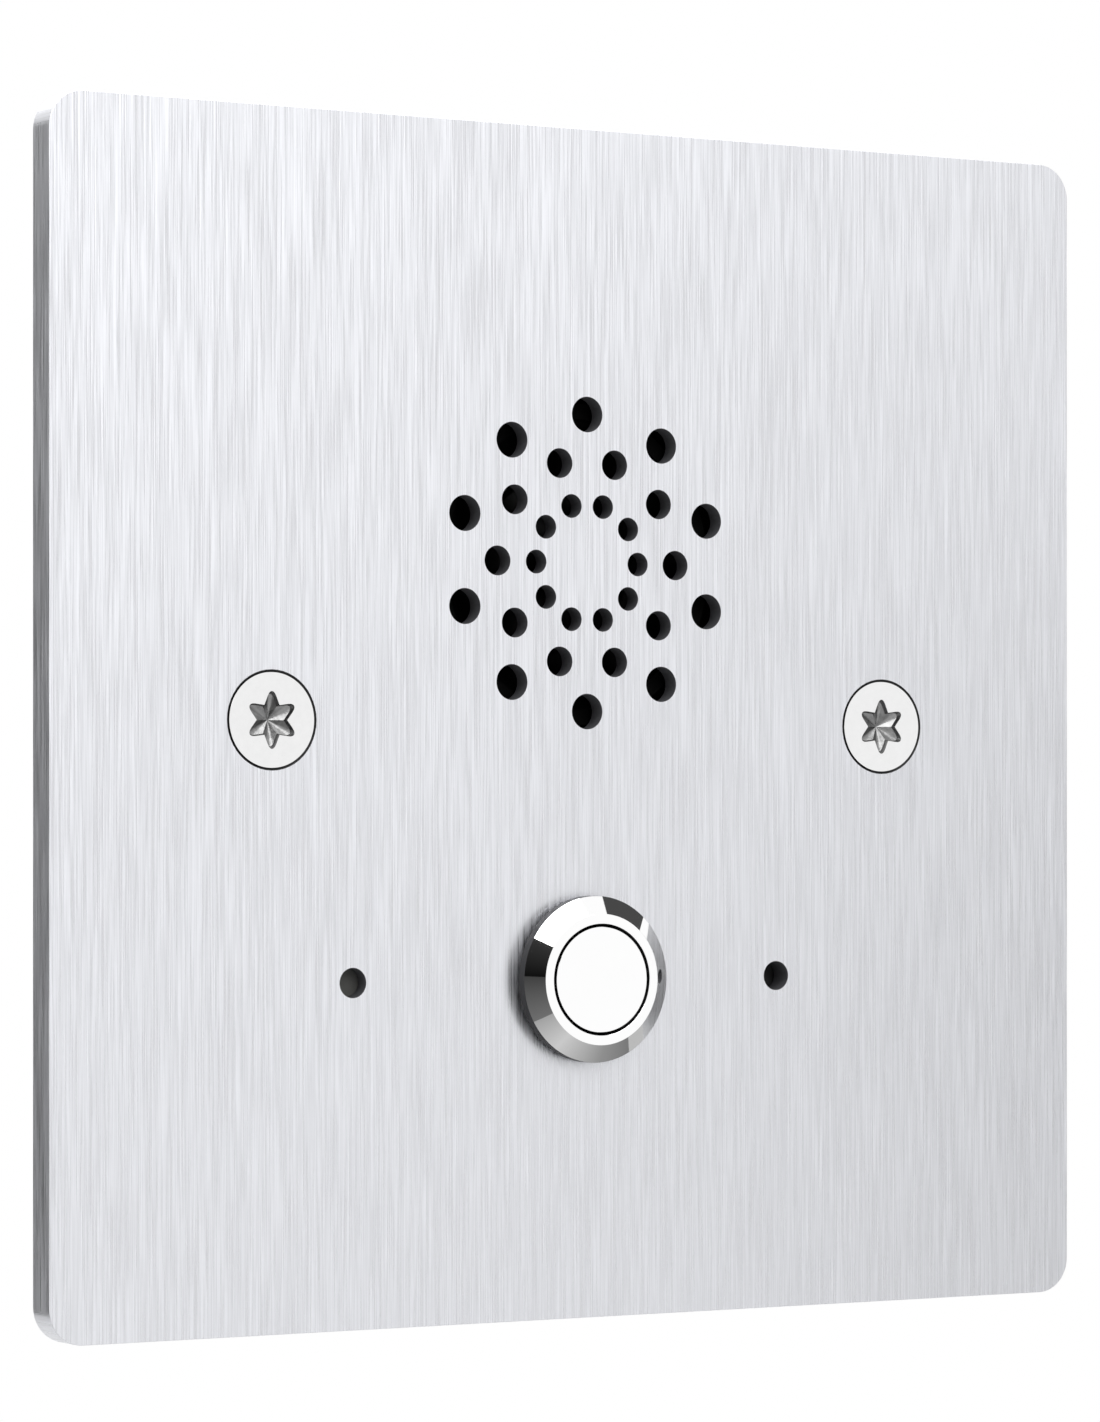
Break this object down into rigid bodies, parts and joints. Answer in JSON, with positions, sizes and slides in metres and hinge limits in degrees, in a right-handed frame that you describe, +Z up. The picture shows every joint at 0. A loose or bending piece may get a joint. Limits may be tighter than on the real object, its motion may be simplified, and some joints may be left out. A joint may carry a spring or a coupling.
{
  "type": "emergency intercom",
  "caption": "Flush wall emergency intercom: square brushed steel plate with ringed speaker holes and one chromed call button, on a black housing with network socket.",
  "frame": {"origin": "in the wall plane (back face of the sealing strips), behind the centre of the front plate, midway between the two wall screws", "axes": "+X to the right as seen by the caller, +Y into the wall, +Z up"},
  "size_m": [0.1, 0.0374, 0.1],
  "materials": {
    "stainless": "brushed upright",
    "polished_steel": "polished",
    "chrome": "polished",
    "zinc_steel": "zinc plated",
    "spring_steel": "drawn wire",
    "soft_iron": "nickel plated",
    "magnet": "nickel plated sintered magnet",
    "foam": "closed-cell foam",
    "rubber": "matt",
    "abs_black": "fine texture",
    "nylon_black": "as moulded",
    "film_black": "pressed film",
    "copper": "enamelled wire",
    "gold_contact": "gold flashed",
    "smoked_acrylic": "clear smoked",
    "led_white": "moulded",
    "aluminium": "drawn",
    "board_green": "solder resist",
    "chip_black": "moulded",
    "ivory": "moulded",
    "terminal_green": "moulded",
    "lead_red": "soft insulation"
  },
  "bodies": {
    "panel": {"front_plate": "stainless", "wall_seal": "foam", "wall_screws": "polished_steel", "standoffs": "zinc_steel", "speaker_gasket": "foam", "speaker_basket": "abs_black", "speaker_surround": "rubber", "speaker_yoke": "soft_iron", "speaker_magnet": "magnet", "pole_plate": "soft_iron", "speaker_clamps": "zinc_steel", "clamp_screws": "zinc_steel", "speaker_leads": "lead_red", "button_body": "chrome", "button_seal": "rubber", "lock_washer": "zinc_steel", "button_nut": "zinc_steel", "button_spring": "spring_steel", "contact_block": "nylon_black", "switch_pins": "gold_contact", "switch_leads": "lead_red", "light_pipe": "smoked_acrylic", "status_led": "led_white", "microphone": "aluminium", "microphone_boot": "rubber", "microphone_leads": "gold_contact", "circuit_board": "board_green", "processor": "chip_black", "board_parts": "chip_black", "wire_headers": "ivory", "network_socket": "nylon_black", "socket_contacts": "gold_contact", "terminal_header": "terminal_green", "header_pins": "gold_contact", "terminal_block": "terminal_green", "terminal_screws": "zinc_steel", "rear_cover": "abs_black", "cover_screws": "zinc_steel"},
    "button": {"button_cap": "chrome", "button_plunger": "nylon_black", "plunger_seal": "rubber", "contact_bridge": "gold_contact"},
    "cone": {"speaker_cone": "film_black", "dust_cap": "film_black", "voice_coil": "copper"}
  },
  "joints": [
    {"name": "button_press", "type": "slide", "parent": "panel", "child": "button", "axis": [0, 1, 0], "range_m": [0, 0.0015], "stiffness_N_per_m": 1500, "springref_m": -0.0008, "deforming": ["button_spring"]},
    {"name": "cone_travel", "type": "slide", "parent": "panel", "child": "cone", "axis": [0, 1, 0], "range_m": [-0.0004, 0.0004], "stiffness_N_per_m": 4000, "deforming": ["speaker_surround"]}
  ]
}
